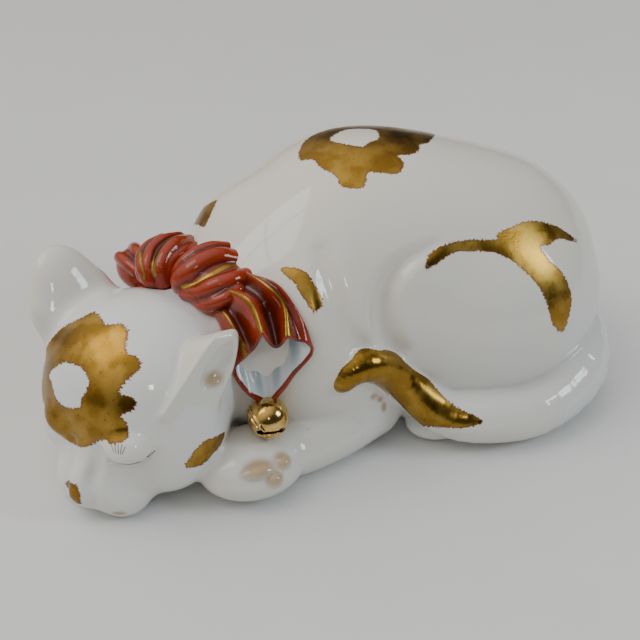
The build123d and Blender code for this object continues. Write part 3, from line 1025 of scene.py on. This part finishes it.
def collar(material):
    """The band round the neck, with soft pleats that hug the glazed surface."""
    turn = np.linspace(0, 2 * np.pi, COLLAR_ROUNDS, endpoint=False)
    spread = np.linspace(-1, 1, COLLAR_STEPS)
    radial = (np.cos(turn)[:, None] * RIBBON_AXES[1] + np.sin(turn)[:, None] * RIBBON_AXES[2])[:, None]
    start = NECK_POINT + spread[None, :, None] * (COLLAR_WIDTH / 2) * RIBBON_AXES[0]
    start = np.broadcast_to(start, (COLLAR_ROUNDS, COLLAR_STEPS, 3))
    round_off = 1 - spread**2
    pleats = np.cos(spread * 3 * np.pi)
    crown = np.sqrt(round_off) * COLLAR_RISE + 0.35 * pleats * round_off + 0.6
    shown = np.interp(np.degrees(turn), *COLLAR_SHOWN)[:, None]
    rise = neck_reach(start, radial) + crown * shown - COLLAR_SUNK * (1 - shown)
    top = start + radial * rise[..., None]
    under = start + radial * (rise - COLLAR_THICKNESS * np.sqrt(round_off))[..., None]
    grid = np.concatenate((top, under[:, 1:-1][:, ::-1]), 1)
    across = grid.shape[1]
    points = grid.reshape(-1, 3)
    points[:, 2] = np.maximum(points[:, 2], 0.5)
    hidden = np.zeros(across - COLLAR_STEPS)
    stripes = np.abs(np.abs(spread) * COLLAR_WIDTH / 2 - 2.0) - 0.45
    layers = {
        "gold": np.tile(np.concatenate((stripes, hidden + 9)), COLLAR_ROUNDS),
        "along": np.repeat(np.arange(COLLAR_ROUNDS) * 0.8, across),
        # painted shade in the troughs of the pleats, lighter on their crowns
        "ridge": np.tile(np.concatenate((0.35 + 0.4 * pleats, hidden)), COLLAR_ROUNDS),
        "white": np.full(len(points), NOT_WHITE),
    }
    quads = ring_quads(COLLAR_ROUNDS, across).reshape(-1, 4)
    fitted("ribbon_collar", "ribbon_red", material, points, quads, None, layers)


def ribbon():
    material = red_glaze()
    bow_piece("ribbon_loop", *LOOP, LOOP_LINES, material)
    bow_piece("ribbon_knot", *KNOT, KNOT_LINES, material)
    bow_piece("ribbon_far_end", *FAR_END, (), material)
    flare(material)
    collar(material)


# ---- the bell

BELL_CENTRE = np.array((-43.3, -47.3, 32.7))
BELL_RADIUS = 8.1
BELL_WALL = 1.1
BELL_CELL = 0.34
BELL_AXES = drawing_plane((0.1, 0.3, 1), (1, -0.3, 0))  # along the slit, towards the body, up
SEAM = 3.6  # how far the seam's plane lies off the bell's centre
SLIT_LENGTH = 4.2  # half of it
LUG = ((-0.8, 2.0), (2.2, 1.5), (5.7, 2.2))  # place from the bell's surface, radius
LUG_CELL = 0.45
LUG_ROOM = 4.0


def bell_field(p):
    q = (p - BELL_CENTRE) @ BELL_AXES.T
    distance = norm(q, axis=-1)
    shell = np.abs(distance - BELL_RADIUS + BELL_WALL / 2) - BELL_WALL / 2
    slope = q[..., 0] * 0.80 + q[..., 2] * 0.60
    for off in (SEAM - 0.75, SEAM + 0.75):  # the two beads of the seam
        flat = np.sqrt(np.maximum(distance**2 - slope**2, 0))
        bead = np.sqrt((slope + off) ** 2 + (flat - math.sqrt(BELL_RADIUS**2 - off**2)) ** 2) - 0.5
        shell = blended(shell, bead, 0.5)
    along, into, up = (q[..., axis] + shift for axis, shift in enumerate((-1.0, 5.5, 3.5)))
    slit = np.sqrt(up**2 + np.maximum(np.abs(along) - SLIT_LENGTH, 0) ** 2) - 0.55
    holes = np.sqrt((np.abs(along) - SLIT_LENGTH) ** 2 + up**2) - 1.25
    return carved(shell, np.maximum(np.minimum(slit, holes), np.abs(into) - 3.5), 0.3)


def bell_gold():
    finish = Finish("bell_gold", Metallic=1.0)
    film = finish.noise(0.004, 4)
    fine = finish.noise(0.0008, 3)
    tone = finish.mix(finish.ramp(film, 0.35, 0.7), (0.50, 0.31, 0.08), (0.78, 0.53, 0.19))
    tone = finish.mix(finish.ramp(fine, 0.6, 0.8, 0, 0.5), tone, (0.20, 0.10, 0.03))
    return finish.output(
        Base_Color=tone,
        Roughness=finish.ramp(film, 0.3, 0.7, 0.10, 0.20),
        Normal=finish.bump(finish.noise(0.003, 3), 0.00012, 0.7),
    )


def bell():
    material = bell_gold()
    half_box = BELL_RADIUS + 1
    ball = skin(bell_field, BELL_CENTRE - half_box, BELL_CENTRE + half_box, BELL_CELL, 2, 0.15)
    fitted("bell", "bell_gold", material, *ball)
    towards_body = unit((0.1, 0.85, 0.5))
    places = [BELL_CENTRE + towards_body * (BELL_RADIUS + place) for place, _ in LUG]
    stem = np.column_stack((places, [radius for _, radius in LUG]))
    low, high = places[0] - LUG_ROOM, places[-1] + towards_body / 2 + LUG_ROOM
    lug = skin(lambda p: tube(p, stem, 10), low, high, LUG_CELL, 2, 0.15)
    fitted("bell_lug", "bell_gold", material, *lug)


# ---- the room

PANE_SPREAD = 0.54  # from a window's middle to a pane's, as a share of the pane


def stood(name, data, place, facing):
    """A lamp or camera that looks along facing."""
    thing = bpy.data.objects.new(name, data)
    thing.location = place
    thing.rotation_euler = Vector(facing).to_track_quat("-Z", "Y").to_euler()
    bpy.context.scene.collection.objects.link(thing)
    return thing


def window(name, place, aim, size, power, colour):
    """Two by two glowing panes with bars between them."""
    place = np.asarray(place)
    back = unit(place - aim)
    right = unit(np.cross((0, 0, 1), back))
    rise = np.cross(back, right)
    for column, row in ((-1, -1), (-1, 1), (1, -1), (1, 1)):
        light = bpy.data.lights.new(f"{name}_{column + 1}{row + 1}", "AREA")
        light.shape = "RECTANGLE"
        light.size, light.size_y = size
        light.energy = power
        light.color = colour
        shift = right * column * size[0] + rise * row * size[1]
        stood(light.name, light, place + shift * PANE_SPREAD, -back)


def surroundings():
    """A dim warm room, bright up and to the left, cooler in front."""
    world = bpy.data.worlds.new("studio")
    bpy.context.scene.world = world
    world.use_nodes = True
    sky = Shading(world.node_tree)
    heading = sky.add("TexCoord").outputs["Generated"]
    bright = sky.ramp(sky.dot(heading, (-0.42, 0.22, 0.88)), 0.2, 0.98)
    cool = sky.ramp(sky.dot(heading, (0.25, -0.95, 0.15)), 0.1, 0.9)
    colour = sky.mix(bright, (1.0, 0.86, 0.68), (1.0, 0.98, 0.94))
    backdrop = sky.nodes["Background"].inputs
    sky.feed(backdrop["Color"], sky.mix(cool, colour, (0.85, 0.93, 1.0)))
    sky.feed(backdrop["Strength"], sky.math("MULTIPLY_ADD", bright, 1.15, 0.085))


def room():
    finish = Finish("floor_paper", Roughness=0.75)
    finish.output(Base_Color=finish.mix(finish.noise(0.05, 2), (0.70, 0.70, 0.69), (0.73, 0.73, 0.72)))
    bpy.ops.mesh.primitive_plane_add(size=16)
    floor = bpy.context.object
    floor.name = "floor"
    floor.data.materials.append(finish.material)
    floor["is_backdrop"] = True
    surroundings()
    window("key_window", (-0.75, 0.15, 1.1), (0, 0, 0.05), (0.36, 0.36), 1.1, (1.0, 0.99, 0.96))
    window("side_window", (0.85, -0.55, 0.65), (0.03, 0, 0.05), (0.15, 0.19), 1.1, (0.80, 0.91, 1.0))
    window("front_window", (-0.25, -1.1, 0.75), (0, 0, 0.05), (0.05, 0.07), 0.22, (0.92, 0.97, 1.0))


def camera():
    """From the near side and above, with the face turned towards the viewer."""
    turn, rise = math.radians(-20), math.radians(35)
    target = np.array((-8.0, -9.0, 45.0)) * MM
    back = np.array((math.sin(turn) * math.cos(rise), -math.cos(turn) * math.cos(rise), math.sin(rise)))
    lens = bpy.data.cameras.new("camera")
    lens.lens = 60.75
    lens.sensor_width = 36
    lens.clip_start = 0.01
    bpy.context.scene.camera = stood("camera", lens, target + back * 0.45, -back)


def foot():
    """Bare biscuit on the base, which stays the CAD's own piece."""
    finish = Finish("bare_biscuit", Roughness=0.85)
    shade = finish.mix(finish.noise(0.02, 3), (0.72, 0.68, 0.60), (0.79, 0.76, 0.70))
    shade = finish.mix(finish.specks(0.004, 0.0002, 0.25, 3.1), shade, (0.35, 0.25, 0.16))
    finish.output(Base_Color=shade, Normal=finish.bump(finish.noise(0.0012, 4), 0.00008, 0.8))
    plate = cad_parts["base_plate"]
    plate.data.materials.clear()
    plate.data.materials.append(finish.material)


castings()
foot()
ribbon()
bell()
room()
camera()

boxes = {"cad": CAD_BOX, "visual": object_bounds()}
{key: [list(map(float, corner)) for corner in box] for key, box in boxes.items()}
